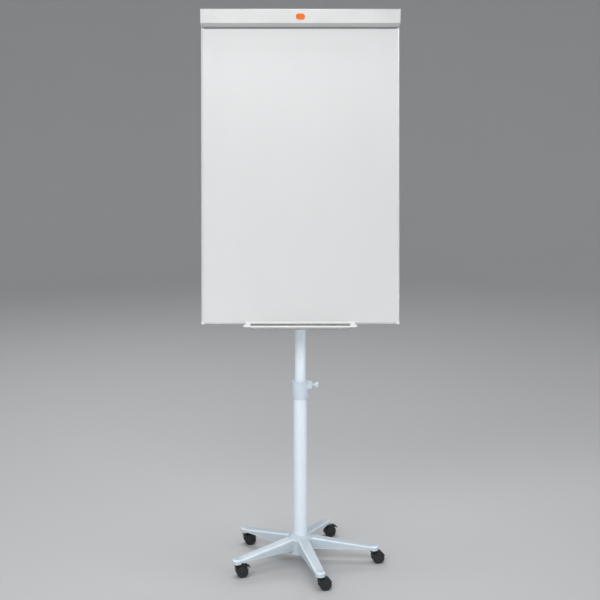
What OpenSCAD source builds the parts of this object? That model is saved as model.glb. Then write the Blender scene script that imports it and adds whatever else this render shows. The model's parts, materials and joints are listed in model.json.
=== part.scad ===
// Mobile flipchart easel: a tilted magnetic board on a telescoping mast, with a sprung pad
// clamp, sliding pad hooks, a pen tray and a five-armed base on twin-wheel casters.
// Millimetres, +Z up. The origin is the foot of the mast axis on the floor, the board faces -Y.

/* [Board] */
// Width of the board and of the pad clamp
board_w = 690; // [600:5:760]
// Height of the board, measured along its face
board_h = 1074; // [1000:2:1120]
// Thickness of the laminated panel
panel_t = 16; // [14:0.5:18]
// Lean of the board, backwards from upright, in degrees
board_tilt = 10; // [8:0.5:10]
// Height of the board's bottom edge above the floor
board_z = 924; // [900:1:960]
// Distance from the mast axis forward to the board's bottom edge
board_reach = 125; // [122:1:130]

/* [Pad clamp] */
// How far the clamp bar stands in front of the board
clamp_depth = 30; // [28:0.5:34]
// Height of the clamp bar's flat front
clamp_front_h = 44; // [40:1:48]
// Distance of each pad hook from the middle of the board
hook_x = 150; // [120:1:180]

/* [Pen tray] */
// Half the length of the trough
trough_half = 175; // [150:1:200]
// Depth of the tray from the board to its front lip
tray_depth = 56; // [50:1:70]
// Height of the tray's rim above the floor of its trough, outside
tray_h = 14; // [9:0.5:16]

/* [Mast] */
// Outer diameter of the sliding upper tube
upper_d = 40; // [38:0.5:41]
// Outer diameter of the fixed lower tube
lower_d = 50; // [49:0.5:51]
// Height of the top of the collar above the floor
collar_top = 690; // [660:1:720]
// Outer diameter of the collar
collar_d = 60.5; // [59:0.5:64]

/* [Base] */
// Distance from the mast axis to each caster's swivel axis
swivel_r = 270; // [240:1:300]
// Direction of the first arm, in degrees from +X
first_arm = -3; // [-10:1:10]
// Width of an arm at its tip
arm_w = 37; // [34:0.5:40]

/* [Casters] */
// Diameter of a caster wheel
wheel_d = 42; // [40:0.5:43]
// Overall width of a pair of wheels
caster_w = 37; // [34:0.5:40]
// Distance from the swivel axis back to the wheels' axle
caster_trail = 16.5; // [15:0.5:18]
// Direction in which the wheels trail, in degrees from +X
caster_turn = 15; // [-180:1:180]

/* [Hidden] */
$fn = 64;

// Running clearance of a shaft in its hole, on the radius, and the overshoot of a cut
fit = 0.05;
cut = 1;
// Large enough to span the whole board in a cutting box
big = 900;

// Colours
lacquer = [0.86, 0.87, 0.87];
tube_grey = [0.78, 0.83, 0.87];
base_grey = [0.70, 0.74, 0.78];
alu = [0.72, 0.74, 0.76];
steel = [0.62, 0.64, 0.66];
black = [0.13, 0.14, 0.15];
white_plastic = [0.9, 0.91, 0.91];

// Board
half_w = board_w / 2;
sheet_t = 0.8;
back_t = 0.6;
rail_w = 7.5;
rail_wall = 1.6;
rail_r = 4;
corner_size = 10;
corner_r = 6;
corner_proud = 1.8;
panel_half = half_w - rail_wall;
edge_pts = [
    [rail_w, 0], [rail_w, -0.8], [rail_r + 0.5, -rail_wall],
    for (a = [270:-15:180]) [rail_r + rail_r * cos(a), rail_r - rail_wall + rail_r * sin(a)],
    for (a = [180:-15:90])
        [rail_r + rail_r * cos(a), panel_t - rail_r + rail_wall + rail_r * sin(a)],
    [rail_w, panel_t + 1.2], [rail_w, panel_t], [rail_wall, panel_t], [rail_wall, 0]];

// Pad clamp, in the board's own Y and Z
pivot_y = -9;
pivot_z = board_h + 5;
bar_top = board_h + 14.9;
bar_r = 5;
bar_t = 2;
bar_lip = [-3.4, bar_top - 60.9];
chamfer = [-18, bar_top - 57.4];
front_low = bar_top - bar_r - clamp_front_h;
cap_t = 3;
pin_r = 2;
ear_x = 330;
ear_t = 3;
ear_r = 5;
strip_half = 334;

// Outer outline of the clamp bar, and of the hollow that opens towards the board
bar_outer = [
    [-3, bar_top],
    for (a = [90:15:180])
        [bar_r - clamp_depth + bar_r * cos(a), bar_top - bar_r + bar_r * sin(a)],
    [-clamp_depth, front_low], chamfer, bar_lip, [-3, pivot_z + 4]];
bar_hollow = [
    [-5, bar_top - bar_t],
    for (a = [90:15:180])
        [bar_r - clamp_depth + (bar_r - bar_t) * cos(a),
         bar_top - bar_r + (bar_r - bar_t) * sin(a)],
    [bar_t - clamp_depth, front_low + 0.9], chamfer + [0.9, 1.8], bar_lip + [4.4, 1.9],
    [1, pivot_z + 4], [-5, pivot_z + 4]];

// Hook rail and hooks
hook_z = board_h - 17;
hook_rail_half = 300;
hook_rail_post = 3;
hook_rail_lip = 1.8;
hook_gap = 0.3;

// Spine and brackets
spine_half = 30;
spine_d = 15;
spine_t = 2;
spine_z = [100, 700];
plate_t = 5;
bolt_x = 22;
ring_r = 25;
ring_h = 40;
head_z = 1255;
stay_z = 1040;

// Mast
upper_r = upper_d / 2;
lower_r = lower_d / 2;
collar_r = collar_d / 2;
bore_upper = upper_r + fit;
bore_lower = lower_r - 2;
socket_z = 56;
collar_h = 65;
lower_top = collar_top - 30;
upper_z = [460, 1303];
upper_wall = 1.7;
bush_h = 48;
bush_floor = 8;
foot_h = 28;

// Height clamp
screw_z = collar_top - 16;
screw_r = 4;
lug_r = 12.5;
lug_x = 43;
pad_r = 5.6;
pad_x = upper_r + 0.3;
pad_t = 2.2;
knob_x = [45.5, 54.3, 65.6];
knob_r = 10.5;
neck_r = 5;

// Base
hub_z = 41;
hub_r = 48;
hub_top = 107;
ring_out = 27.4;
arm_low = 56.5;
arm_top_hub = 99;
arm_top_tip = 66;
arm_wall = 4;
tip_low = 49.5;
tip_r = arm_w / 2;
boss_r = 13;
stem_top = 62;
bolt_r = 5;

// Casters
wheel_r = wheel_d / 2;
axle_r = 2.5;
swivel_pin_r = 4;
swivel_pin_z = 31;
hood_in = wheel_r + 1;
hood_out = wheel_r + 3.2;
hood_half = 16.3;
web_half = 5;
wheel_gap = 0.4;
wheel_w = caster_w / 2 - web_half - wheel_gap;
cap_z = [43.3, 48.2];
lever_pos = [17.5, 20.8];
lever_r = 2.4;
lever_len = 12.5;
lever_droop = 30;

// Puts its children in the board's own frame: Z up along the face, Y into the board
module on_board() {
    translate([0, -board_reach, board_z]) rotate([-board_tilt, 0, 0]) children();
}

// Extrudes an outline given in (Y, Z) along X, from -half to +half
module along_x(half) {
    rotate([90, 0, 90]) translate([0, 0, -half]) linear_extrude(2 * half) children();
}

// A cylinder along X from x0 to x1
module rod_x(x0, x1, r) {
    translate([x0, 0, 0]) rotate([0, 90, 0]) cylinder(r = r, h = x1 - x0);
}

// Puts its children on both sides of the YZ plane
module both_sides() {
    children();
    mirror([1, 0, 0]) children();
}

module tube(r_out, r_in, z0, z1) {
    translate([0, 0, z0]) difference() {
        cylinder(r = r_out, h = z1 - z0);
        translate([0, 0, -cut]) cylinder(r = r_in, h = z1 - z0 + 2 * cut);
    }
}

// ---- Base ----

module arm_plan(margin) {
    root = 22 - margin;
    tip = tip_r - margin;
    polygon([
        [0, -root], [60, -root], [swivel_r, -tip],
        for (a = [-75:15:75]) [swivel_r + tip * cos(a), tip * sin(a)],
        [swivel_r, tip], [60, root], [0, root]]);
}

// Side profile of an arm in (radius, Z), lowered by a wall thickness for the hollow inside
module arm_profile(drop, low) {
    rotate([90, 0, 0]) translate([0, 0, -arm_w]) linear_extrude(2 * arm_w)
        polygon([[0, low], [0, arm_top_hub - drop], [50, arm_top_hub - drop],
            [swivel_r - 15, arm_top_tip + 2 - drop], [swivel_r + 12, arm_top_tip - 1 - drop],
            [swivel_r + tip_r + 2, arm_top_tip - 4 - drop], [swivel_r + tip_r + 2, low]]);
}

module arm() {
    difference() {
        intersection() {
            linear_extrude(hub_top) arm_plan(0);
            arm_profile(0, arm_low);
        }
        intersection() {
            linear_extrude(hub_top) arm_plan(arm_wall);
            arm_profile(arm_wall, 0);
            translate([hub_r, -arm_w, 0]) cube([swivel_r - hub_r - boss_r, 2 * arm_w, hub_top]);
        }
    }
    for (x = [100, 150, 200])
        translate([x, -tip_r + 1, arm_low + 1]) cube([2.5, arm_w - 2, 8]);
    intersection() {
        translate([swivel_r, 0, tip_low]) cylinder(r = tip_r, h = hub_top);
        arm_profile(0, tip_low);
    }
}

module star_base() {
    color(base_grey) difference() {
        union() {
            rotate_extrude() polygon([
                [0, hub_z], [hub_r, hub_z], [hub_r + 0.5, hub_z + 2], [hub_r - 2.5, arm_top_hub - 5],
                for (a = [0:15:75]) [hub_r - 8 + 5.5 * cos(a), arm_top_hub - 5 + 5.5 * sin(a)],
                [ring_out + 8, hub_top - 2.5], [ring_out + 1, hub_top], [0, hub_top]]);
            for (k = [0:4]) rotate([0, 0, first_arm + 72 * k]) arm();
        }
        translate([0, 0, socket_z]) cylinder(r = lower_r + fit, h = hub_top);
        translate([0, 0, hub_top - 4]) cylinder(r = ring_out + fit, h = hub_top);
        translate([0, 0, -cut]) cylinder(r = bolt_r + fit, h = hub_top);
        for (k = [0:4]) rotate([0, 0, first_arm + 72 * k])
            translate([swivel_r, 0, 0]) cylinder(r = 5 + fit, h = stem_top + 0.2);
    }
}

module mast_ring() {
    color(tube_grey) tube(ring_out, lower_r + fit, hub_top - 4, hub_top + 1);
}

module base_bolt() {
    color(steel) {
        translate([0, 0, hub_z - 3]) cylinder(r = 14, h = 3);
        translate([0, 0, hub_z - 9]) cylinder(r = 8.5, h = 6.5, $fn = 6);
        translate([0, 0, hub_z - 4]) cylinder(r = bolt_r, h = 42);
    }
}

module tube_foot() {
    color(steel) tube(bore_lower - fit, bolt_r + fit, socket_z, socket_z + foot_h);
}

// ---- Mast ----

module lower_tube() {
    color(tube_grey) tube(lower_r, bore_lower, socket_z, lower_top);
}

module collar() {
    z0 = collar_top - collar_h;
    edge = 3;
    color(tube_grey) difference() {
        union() {
            rotate_extrude() polygon([
                [0, z0], for (a = [-90:18:0])
                    [collar_r - edge + edge * cos(a), z0 + edge + edge * sin(a)],
                for (a = [0:18:90])
                    [collar_r - edge + edge * cos(a), collar_top - edge + edge * sin(a)],
                [0, collar_top]]);
            translate([0, 0, screw_z]) rod_x(0, lug_x, lug_r);
        }
        translate([0, 0, z0 - cut]) cylinder(r = lower_r + fit, h = lower_top - z0 + cut);
        translate([0, 0, z0]) cylinder(r = bore_upper, h = collar_h + cut);
        translate([0, 0, screw_z]) {
            rod_x(0, lug_x + cut, screw_r + fit);
            rod_x(0, pad_x + pad_t + 2.1, pad_r + fit);
        }
    }
}

module guide_bush() {
    z0 = upper_z[0] - bush_floor;
    color(black) rotate_extrude() polygon([
        [14, z0], [bore_lower - fit, z0], [bore_lower - fit, z0 + bush_h],
        [upper_r + fit, z0 + bush_h], [upper_r + fit, upper_z[0] - 0.2], [14, upper_z[0] - 0.2]]);
}

module upper_tube() {
    color(tube_grey) difference() {
        tube(upper_r, upper_r - upper_wall, upper_z[0], upper_z[1]);
        for (z = [stay_z, head_z]) translate([0, 0, z + ring_h / 2])
            rod_x(-upper_d, upper_d, 3 + fit);
    }
}

module tube_cap() {
    color(black) {
        translate([0, 0, upper_z[1]]) cylinder(r = upper_r, h = 3);
        translate([0, 0, upper_z[1] - 12]) cylinder(r = upper_r - upper_wall - fit, h = 12.5);
    }
}

// Where the middle of a bracket at height z0 meets the back of the spine, measured up the board
function bolt_row(z0) = (z0 + ring_h / 2 - board_z + (panel_t + spine_d) * sin(board_tilt))
    / cos(board_tilt);

// A ring around the mast with a neck and a plate that lies on the back of the spine
module mast_bracket(z0) {
    plate_z = bolt_row(z0) - ring_h / 2;
    color(base_grey) difference() {
        union() {
            translate([0, 0, z0]) cylinder(r = ring_r, h = ring_h);
            translate([-15, -board_reach, z0 + 3]) cube([30, board_reach, ring_h - 6]);
            on_board() translate([-32, panel_t + spine_d, plate_z]) cube([64, plate_t, ring_h]);
        }
        on_board() translate([-big / 2, panel_t + spine_d - big, -big / 2])
            cube([big, big, 3 * big]);
        translate([0, 0, z0 - cut]) cylinder(r = bore_upper, h = ring_h + 2 * cut);
        translate([0, 0, z0 + ring_h / 2]) rod_x(-ring_r - cut, ring_r + cut, 3 + fit);
        on_board() for (x = [-bolt_x, bolt_x]) translate([x, 0, plate_z + ring_h / 2])
            rotate([-90, 0, 0]) cylinder(r = 3 + fit, h = 80);
    }
}

module head_bracket() { mast_bracket(head_z); }
module stay_bracket() { mast_bracket(stay_z); }

module nut(r, h) {
    difference() {
        cylinder(r = r, h = h, $fn = 6);
        translate([0, 0, -cut]) cylinder(r = 3 + fit, h = h + 2 * cut);
    }
}

module tube_bolts() {
    color(steel) for (z = [stay_z, head_z]) translate([0, 0, z + ring_h / 2]) {
        rod_x(-ring_r - 0.5, ring_r + 7, 3);
        translate([-ring_r - 4, 0, 0]) rotate([0, 90, 0]) cylinder(r = 5.5, h = 4, $fn = 6);
        translate([ring_r, 0, 0]) rotate([0, 90, 0]) nut(5.5, 5);
    }
}

module bracket_bolts() {
    back = panel_t + spine_d;
    color(steel) on_board() for (z0 = [stay_z, head_z]) for (x = [-bolt_x, bolt_x])
        translate([x, back, bolt_row(z0)]) rotate([-90, 0, 0]) {
            translate([0, 0, -8]) cylinder(r = 3, h = plate_t + 8.5);
            translate([0, 0, plate_t]) cylinder(r = 5.5, h = 4, $fn = 6);
            translate([0, 0, -spine_t - 5]) nut(5.5, 5);
        }
}

// ---- Board ----

module spine_channel() {
    web = panel_t + spine_d - spine_t;
    foot = 20;
    color(base_grey) on_board() difference() {
        translate([0, 0, spine_z[0]]) linear_extrude(spine_z[1] - spine_z[0]) union() {
            translate([-spine_half, web]) square([2 * spine_half, spine_t]);
            for (s = [-1, 1]) translate([s * (spine_half - spine_t / 2) - spine_t / 2, panel_t])
                square([spine_t, spine_d]);
            for (s = [-1, 1]) translate([s * (spine_half + foot / 2 - spine_t / 2) - foot / 2,
                panel_t]) square([foot, spine_t]);
        }
        for (z0 = [stay_z, head_z]) for (x = [-bolt_x, bolt_x])
            translate([x, web - cut, bolt_row(z0)]) rotate([-90, 0, 0])
                cylinder(r = 3 + fit, h = spine_t + 2 * cut);
    }
}

// One flat layer of the panel, from depth y0 to y1
module layer(y0, y1) {
    translate([-panel_half, y0, rail_wall])
        cube([2 * panel_half, y1 - y0, board_h - 2 * rail_wall]);
}

module back_sheet() {
    color(steel) on_board() layer(panel_t - back_t, panel_t);
}

module panel_core() {
    color("tan") on_board() difference() {
        layer(sheet_t, panel_t - back_t);
        tray_screw_places() translate([0, 0, -cut]) cylinder(r = 2 + fit, h = 10);
    }
}

module writing_surface() {
    color(lacquer) on_board() layer(0, sheet_t);
}

module right_rail() {
    color(alu) on_board() translate([0, 0, corner_size])
        linear_extrude(board_h - 2 * corner_size)
            polygon([for (p = edge_pts) [half_w - p[0], p[1]]]);
}

module left_rail() { mirror([1, 0, 0]) right_rail(); }

module bottom_rail() {
    color(alu) on_board() difference() {
        along_x(half_w - corner_size) polygon([for (p = edge_pts) [p[1], p[0]]]);
        tray_screw_places() translate([0, 0, -cut]) cylinder(r = 2 + fit, h = 10);
    }
}

module top_rail() {
    color(alu) on_board() along_x(half_w - corner_size)
        polygon([for (p = edge_pts) [p[1], board_h - p[0]]]);
}

module corner_outline() {
    polygon([
        [half_w - corner_size, 0],
        for (a = [-90:15:0]) [half_w - corner_r + corner_r * cos(a), corner_r + corner_r * sin(a)],
        [half_w, corner_size], [half_w - corner_size, corner_size]]);
}

module corner_caps() {
    color(white_plastic) on_board() difference() {
        for (top = [0, 1]) translate([0, 0, top * board_h]) mirror([0, 0, top]) both_sides()
            translate([0, panel_t + corner_proud, 0]) rotate([90, 0, 0])
                linear_extrude(panel_t + 2 * corner_proud) corner_outline();
        layer(0, panel_t);
    }
}

// ---- Pad clamp ----

module clamp_bar() {
    color(lacquer) on_board() along_x(half_w - cap_t) difference() {
        polygon(bar_outer);
        polygon(bar_hollow);
    }
}

module clamp_end_caps() {
    boss = ear_x + ear_t + 0.4;
    color(white_plastic) on_board() both_sides() difference() {
        union() {
            translate([half_w - cap_t / 2, 0, 0]) along_x(cap_t / 2) polygon(bar_outer);
            translate([0, pivot_y, pivot_z]) rod_x(boss, half_w - cap_t, ear_r);
            translate([half_w - cap_t - 5, 4.5 - clamp_depth, front_low + 4]) cube([5.5, 8, 30]);
        }
        translate([0, pivot_y, pivot_z]) rod_x(boss - cut, half_w - cap_t + 1.5, pin_r + fit);
    }
}

module clamp_pins() {
    color(steel) on_board() both_sides() translate([0, pivot_y, pivot_z])
        rod_x(ear_x - 8, half_w - cap_t + 1.4, pin_r);
}

// Torsion coils around the pins, on the inner side of each bracket's ear
module clamp_springs() {
    wire = 0.5;
    coil = 3.6;
    turns = 5;
    pitch = 1.15;
    steps = 12;
    sides = 6;
    count = turns * steps;
    points = [for (i = [0:count]) for (j = [0:sides - 1])
        let (a = 360 * i / steps, b = 360 * j / sides, r = coil + wire * cos(b))
        [ear_x - 1 - pitch * i / steps + wire * sin(b) - wire,
         pivot_y + r * cos(a), pivot_z + r * sin(a)]];
    faces = [
        [for (j = [0:sides - 1]) j],
        for (i = [0:count - 1]) for (j = [0:sides - 1])
            let (n = (j + 1) % sides, p = i * sides, q = p + sides)
            [p + j, q + j, q + n, p + n],
        [for (j = [sides - 1:-1:0]) count * sides + j]];
    color(steel) on_board() both_sides() polyhedron(points, faces);
}

module grip_strip() {
    color(black) on_board() along_x(strip_half) difference() {
        translate([-6, bar_lip[1] - 1.8]) square([5.7, 5.4]);
        difference() {
            polygon(bar_outer);
            polygon(bar_hollow);
        }
    }
}

module badge() {
    badge_h = 21;
    badge_w = 32;
    middle = front_low + clamp_front_h / 2;
    color([0.96, 0.5, 0.16]) on_board()
        translate([0, -clamp_depth, middle]) rotate([90, 0, 0]) linear_extrude(1) union() {
            square([badge_w - badge_h, badge_h], center = true);
            for (s = [-1, 1]) translate([s * (badge_w - badge_h) / 2, 0]) circle(r = badge_h / 2);
        }
}

module hinge_brackets() {
    color(steel) on_board() both_sides() difference() {
        union() {
            translate([ear_x - 18, -3.8, board_h - 17]) cube([18 + ear_t, 2, 17]);
            translate([ear_x + ear_t / 2, 0, 0]) along_x(ear_t / 2) polygon([
                [-1.8, board_h - 17], [-1.8, board_h], [pivot_y + 4.2, pivot_z - 2.5],
                [pivot_y - ear_r + 0.2, pivot_z - 2.5], [pivot_y - ear_r + 0.2, board_h - 10]]);
            translate([0, pivot_y, pivot_z]) rod_x(ear_x, ear_x + ear_t, ear_r);
        }
        translate([0, pivot_y, pivot_z]) rod_x(ear_x - cut, ear_x + ear_t + cut, pin_r + fit);
    }
}

module hook_rail() {
    color(alu) on_board() {
        translate([-hook_rail_half, -hook_rail_post, hook_z - 4])
            cube([2 * hook_rail_half, hook_rail_post, 8]);
        translate([-hook_rail_half, -hook_rail_post - hook_rail_lip, hook_z - 7])
            cube([2 * hook_rail_half, hook_rail_lip, 14]);
    }
}

module pad_hook(x) {
    lip = hook_rail_post + hook_rail_lip;
    color(black) on_board() translate([x, 0, hook_z]) {
        difference() {
            translate([-10, -9, -10]) cube([20, 8.2, 19]);
            translate([-10 - cut, -hook_rail_post - cut, -4 - hook_gap])
                cube([20 + 2 * cut, hook_rail_post + 2 * cut, 8 + 2 * hook_gap]);
            translate([-10 - cut, -lip - hook_gap, -7 - hook_gap])
                cube([20 + 2 * cut, hook_rail_lip + 2 * hook_gap, 14 + 2 * hook_gap]);
        }
        translate([0, -9, 0]) rotate([90, 0, 0]) cylinder(r = 3, h = 12);
    }
}

module pad_hook_left() { pad_hook(-hook_x); }
module pad_hook_right() { pad_hook(hook_x); }

// ---- Pen tray ----

// Outline of the rim seen from above; the ends flare towards the front
module rim_plan() {
    back_half = trough_half + 14.5;
    front_half = trough_half + 22.5;
    front = -board_reach - tray_depth;
    r = 7;
    polygon([
        [-back_half, -board_reach + 10], [-front_half, front + r + 6],
        for (a = [180:15:270]) [-front_half + r + r * cos(a), front + r + r * sin(a)],
        for (a = [270:15:360]) [front_half - r + r * cos(a), front + r + r * sin(a)],
        [front_half, front + r + 6], [back_half, -board_reach + 10]]);
}

tray_rim = board_z + 5;
tray_floor = tray_rim - tray_h;

// The trough's section in (Y, Z), grown outwards by a wall thickness, up to a height above the rim
module trough_section(wall, over) {
    front = -board_reach - tray_depth;
    low = tray_floor + 2 - wall;
    polygon([
        [front + 6 - wall, tray_rim + over], [front + 9 - wall, low],
        [-board_reach - 4 + wall, low], [-board_reach - 4 + wall, tray_rim + over]]);
}

module tray_screw_places() {
    for (x = [-140, 0, 140]) translate([x, panel_t / 2, 0]) children();
}

module pen_tray() {
    lip_h = 4;
    front = -board_reach - tray_depth;
    color(white_plastic) difference() {
        union() {
            translate([0, 0, tray_rim - 2.2]) linear_extrude(2.2) rim_plan();
            translate([-trough_half - 15.5, front, tray_rim - lip_h])
                cube([2 * trough_half + 31, 3, lip_h]);
            along_x(trough_half) trough_section(2, 0);
            on_board() translate([-trough_half - 14, -4, -1]) cube([2 * trough_half + 28, 3, 12]);
            on_board() translate([-160, -5, -2.4]) cube([320, panel_t + 3, 2.2]);
        }
        along_x(trough_half - 2.2) trough_section(0, 2 * cut);
        on_board() translate([-big / 2, -corner_proud, 0]) cube([big, big, big]);
        on_board() translate([-big / 2, 0, -0.2]) cube([big, big, big]);
        tray_holes();
    }
}

module tray_holes() {
    on_board() tray_screw_places() translate([0, 0, -10]) cylinder(r = 2 + fit, h = 20);
}

module tray_screws() {
    color(steel) on_board() tray_screw_places() {
        translate([0, 0, -2.5]) cylinder(r = 2, h = 10);
        translate([0, 0, -4.6]) cylinder(r = 3.8, h = 2.2);
    }
}

// ---- Height clamp ----

module pressure_pad() {
    color(black) translate([0, 0, screw_z]) rod_x(pad_x, pad_x + pad_t, pad_r);
}

module clamp_screw() {
    color(steel) translate([0, 0, screw_z]) rod_x(pad_x + pad_t, knob_x[1] + 5, screw_r);
}

module clamp_knob() {
    flutes = 10;
    color(tube_grey) translate([0, 0, screw_z]) difference() {
        union() {
            rod_x(knob_x[0], knob_x[1] + 1, neck_r);
            rod_x(knob_x[1], knob_x[2], knob_r);
        }
        rod_x(knob_x[0] - cut, knob_x[1] + 5, screw_r);
        for (k = [0:flutes - 1]) rotate([360 * k / flutes, 0, 0]) translate([0, 0, knob_r + 1])
            rod_x(knob_x[1] - cut, knob_x[2] + cut, 1.8);
    }
}

// ---- Casters ----

// Puts its children at caster k, with X along the trail and Z up from the floor
module at_caster(k) {
    a = first_arm + 72 * k;
    translate([swivel_r * cos(a), swivel_r * sin(a), 0]) rotate([0, 0, caster_turn]) children();
}

// A cylinder across the caster, around a point given by its distance back and its height
module rod_across(x, z, y0, y1, r) {
    translate([x, y1, z]) rotate([90, 0, 0]) cylinder(r = r, h = y1 - y0);
}

module caster_stems() {
    color(steel) for (k = [0:4]) at_caster(k) {
        translate([0, 0, tip_low]) cylinder(r = 5, h = stem_top - tip_low);
        translate([0, 0, tip_low - 1]) cylinder(r = 8, h = 1);
        translate([0, 0, swivel_pin_z + 0.5]) cylinder(r = swivel_pin_r, h = tip_low - swivel_pin_z);
    }
}

module lever_lugs() {
    for (s = [-1, 1]) rod_across(caster_trail + lever_pos[0], wheel_r + lever_pos[1],
        s * 9.5 - 1.5, s * 9.5 + 1.5, 3.4);
}

module housing(k, braked) {
    color(black) at_caster(k) difference() {
        union() {
            difference() {
                rod_across(caster_trail, wheel_r, -hood_half, hood_half, hood_out);
                rod_across(caster_trail, wheel_r, -big, big, hood_in);
                translate([-big / 2, -big / 2, wheel_r + 7 - big]) cube(big);
            }
            rod_across(caster_trail, wheel_r, -web_half, web_half, wheel_r - 3);
            translate([caster_trail - 7, -web_half, wheel_r]) cube([14, 2 * web_half, wheel_r + 2]);
            translate([0, 0, swivel_pin_z - 3]) cylinder(r = web_half + 0.2, h = 16);
            translate([0, 0, cap_z[0]]) cylinder(r = 12, h = cap_z[1] - cap_z[0]);
            translate([0, -web_half, cap_z[0] - 6]) cube([caster_trail, 2 * web_half, 8]);
            if (braked) lever_lugs();
        }
        translate([0, 0, swivel_pin_z]) cylinder(r = swivel_pin_r + fit, h = 40);
        rod_across(caster_trail, wheel_r, -big, big, axle_r + fit / 2);
        rod_across(caster_trail + lever_pos[0], wheel_r + lever_pos[1], -11.5, 11.5, 1.5 + fit);
    }
}

module axle(k) {
    color(steel) at_caster(k) rod_across(caster_trail, wheel_r, -15.5, 15.5, axle_r);
}

// A wheel with a rounded tread, a dished outer face and a blind hub; side is -1 near, +1 far
module wheel(k, side) {
    y_in = web_half + wheel_gap;
    edge = 2;
    color([0.17, 0.18, 0.19]) at_caster(k)
        translate([caster_trail, 0, wheel_r]) rotate([side < 0 ? 90 : -90, 0, 0])
            translate([0, 0, y_in]) rotate_extrude() polygon([
                [axle_r + 0.06, 0], [wheel_r - edge, 0],
                for (a = [-90:30:0]) [wheel_r - edge + edge * cos(a), edge + edge * sin(a)],
                for (a = [0:30:90]) [wheel_r - edge + edge * cos(a), wheel_w - edge + edge * sin(a)],
                [wheel_r - 5.5, wheel_w], [wheel_r - 6.5, wheel_w - 1.2], [7, wheel_w - 1.2],
                [6, wheel_w - 0.4], [0, wheel_w], [0, wheel_w - 2.6],
                [axle_r + 0.06, wheel_w - 2.6]]);
}

module brake(k) {
    color([0.1, 0.11, 0.12]) at_caster(k)
        translate([caster_trail + lever_pos[0], 0, wheel_r + lever_pos[1]]) {
            rod_across(0, 0, -7.6, 7.6, lever_r);
            rod_across(0, 0, -11, 11, 1.5);
            rotate([0, lever_droop, 0]) {
                translate([0, -6.8, -1.6]) cube([lever_len - 1, 13.6, 3.2]);
                translate([lever_len - 6, -11, -1.9]) cube([6, 22, 3.9]);
            }
        }
}

module caster_1_housing() { housing(0, false); }
module caster_2_housing() { housing(1, true); }
module caster_3_housing() { housing(2, false); }
module caster_4_housing() { housing(3, true); }
module caster_5_housing() { housing(4, false); }

star_base();
mast_ring();
base_bolt();
tube_foot();
lower_tube();
collar();
caster_stems();
guide_bush();
upper_tube();
tube_cap();
head_bracket();
stay_bracket();
tube_bolts();
bracket_bolts();
spine_channel();
back_sheet();
panel_core();
writing_surface();
left_rail();
right_rail();
top_rail();
bottom_rail();
corner_caps();
hinge_brackets();
hook_rail();
clamp_springs();
pen_tray();
tray_screws();
clamp_bar();
clamp_end_caps();
clamp_pins();
grip_strip();
badge();
pad_hook_left();
pad_hook_right();
pressure_pad();
clamp_screw();
clamp_knob();
caster_1_housing();
caster_2_housing();
caster_3_housing();
caster_4_housing();
caster_5_housing();
axle(0);  // caster_1_axle
axle(1);  // caster_2_axle
axle(2);  // caster_3_axle
axle(3);  // caster_4_axle
axle(4);  // caster_5_axle
wheel(0, -1);  // caster_1_wheel_near
wheel(0, 1);  // caster_1_wheel_far
wheel(1, -1);  // caster_2_wheel_near
wheel(1, 1);  // caster_2_wheel_far
wheel(2, -1);  // caster_3_wheel_near
wheel(2, 1);  // caster_3_wheel_far
wheel(3, -1);  // caster_4_wheel_near
wheel(3, 1);  // caster_4_wheel_far
wheel(4, -1);  // caster_5_wheel_near
wheel(4, 1);  // caster_5_wheel_far
brake(1);  // caster_2_brake
brake(3);  // caster_4_brake
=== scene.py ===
"""Looks of the mobile flipchart easel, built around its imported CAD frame. Metres, +Z up."""

import json
import math

import bmesh
import bpy
from mathutils import Matrix, Vector


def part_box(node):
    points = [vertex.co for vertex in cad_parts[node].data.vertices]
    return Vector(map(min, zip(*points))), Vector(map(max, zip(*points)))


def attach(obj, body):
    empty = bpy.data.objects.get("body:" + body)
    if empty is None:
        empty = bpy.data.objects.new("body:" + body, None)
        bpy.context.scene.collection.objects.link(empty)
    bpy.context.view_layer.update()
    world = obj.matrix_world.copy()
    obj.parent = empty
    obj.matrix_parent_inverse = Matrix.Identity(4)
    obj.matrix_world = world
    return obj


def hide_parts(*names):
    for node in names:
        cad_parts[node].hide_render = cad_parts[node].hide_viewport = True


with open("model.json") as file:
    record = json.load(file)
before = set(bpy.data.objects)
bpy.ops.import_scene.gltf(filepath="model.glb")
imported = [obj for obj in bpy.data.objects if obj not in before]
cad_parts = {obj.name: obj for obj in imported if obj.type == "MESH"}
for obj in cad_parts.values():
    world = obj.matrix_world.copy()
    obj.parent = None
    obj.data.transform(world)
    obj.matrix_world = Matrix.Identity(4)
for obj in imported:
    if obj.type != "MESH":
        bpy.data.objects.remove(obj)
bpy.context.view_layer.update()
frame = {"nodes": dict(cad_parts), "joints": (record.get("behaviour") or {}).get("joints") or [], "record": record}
RECORD = frame["record"]
MOUNTS = {m["name"]: m for m in RECORD["mounts"]}
JOINTS = {j["name"]: j for j in frame["joints"]}
NODE_BODY = {n: b for b, members in RECORD["behaviour"]["bodies"].items() for n in members}
MM = 0.001


# ---------------------------------------------------------------- the frame's own places

def board_matrix():
    """The board's own frame: X across, Y into the panel, Z up along the face, from its bottom edge.

    A hook's peg stands square to the face, so it gives the tilt. The writing sheet's lowest corner gives
    the place: the sheet starts inside the bottom rail's wall."""
    peg = MOUNTS["pad_hook_left_peg"]["axis"]
    tilt = math.atan2(peg[2], -peg[1])
    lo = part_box("writing_surface")[0]
    sheet = 0.8 * MM
    inset = 1.6 * MM
    y = lo.y - inset * math.sin(tilt)
    z = lo.z + sheet * math.sin(tilt) - inset * math.cos(tilt)
    return Matrix.Translation((0, y, z)) @ Matrix.Rotation(-tilt, 4, "X")


BOARD = board_matrix()
BOARD_INVERSE = BOARD.inverted()


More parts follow.
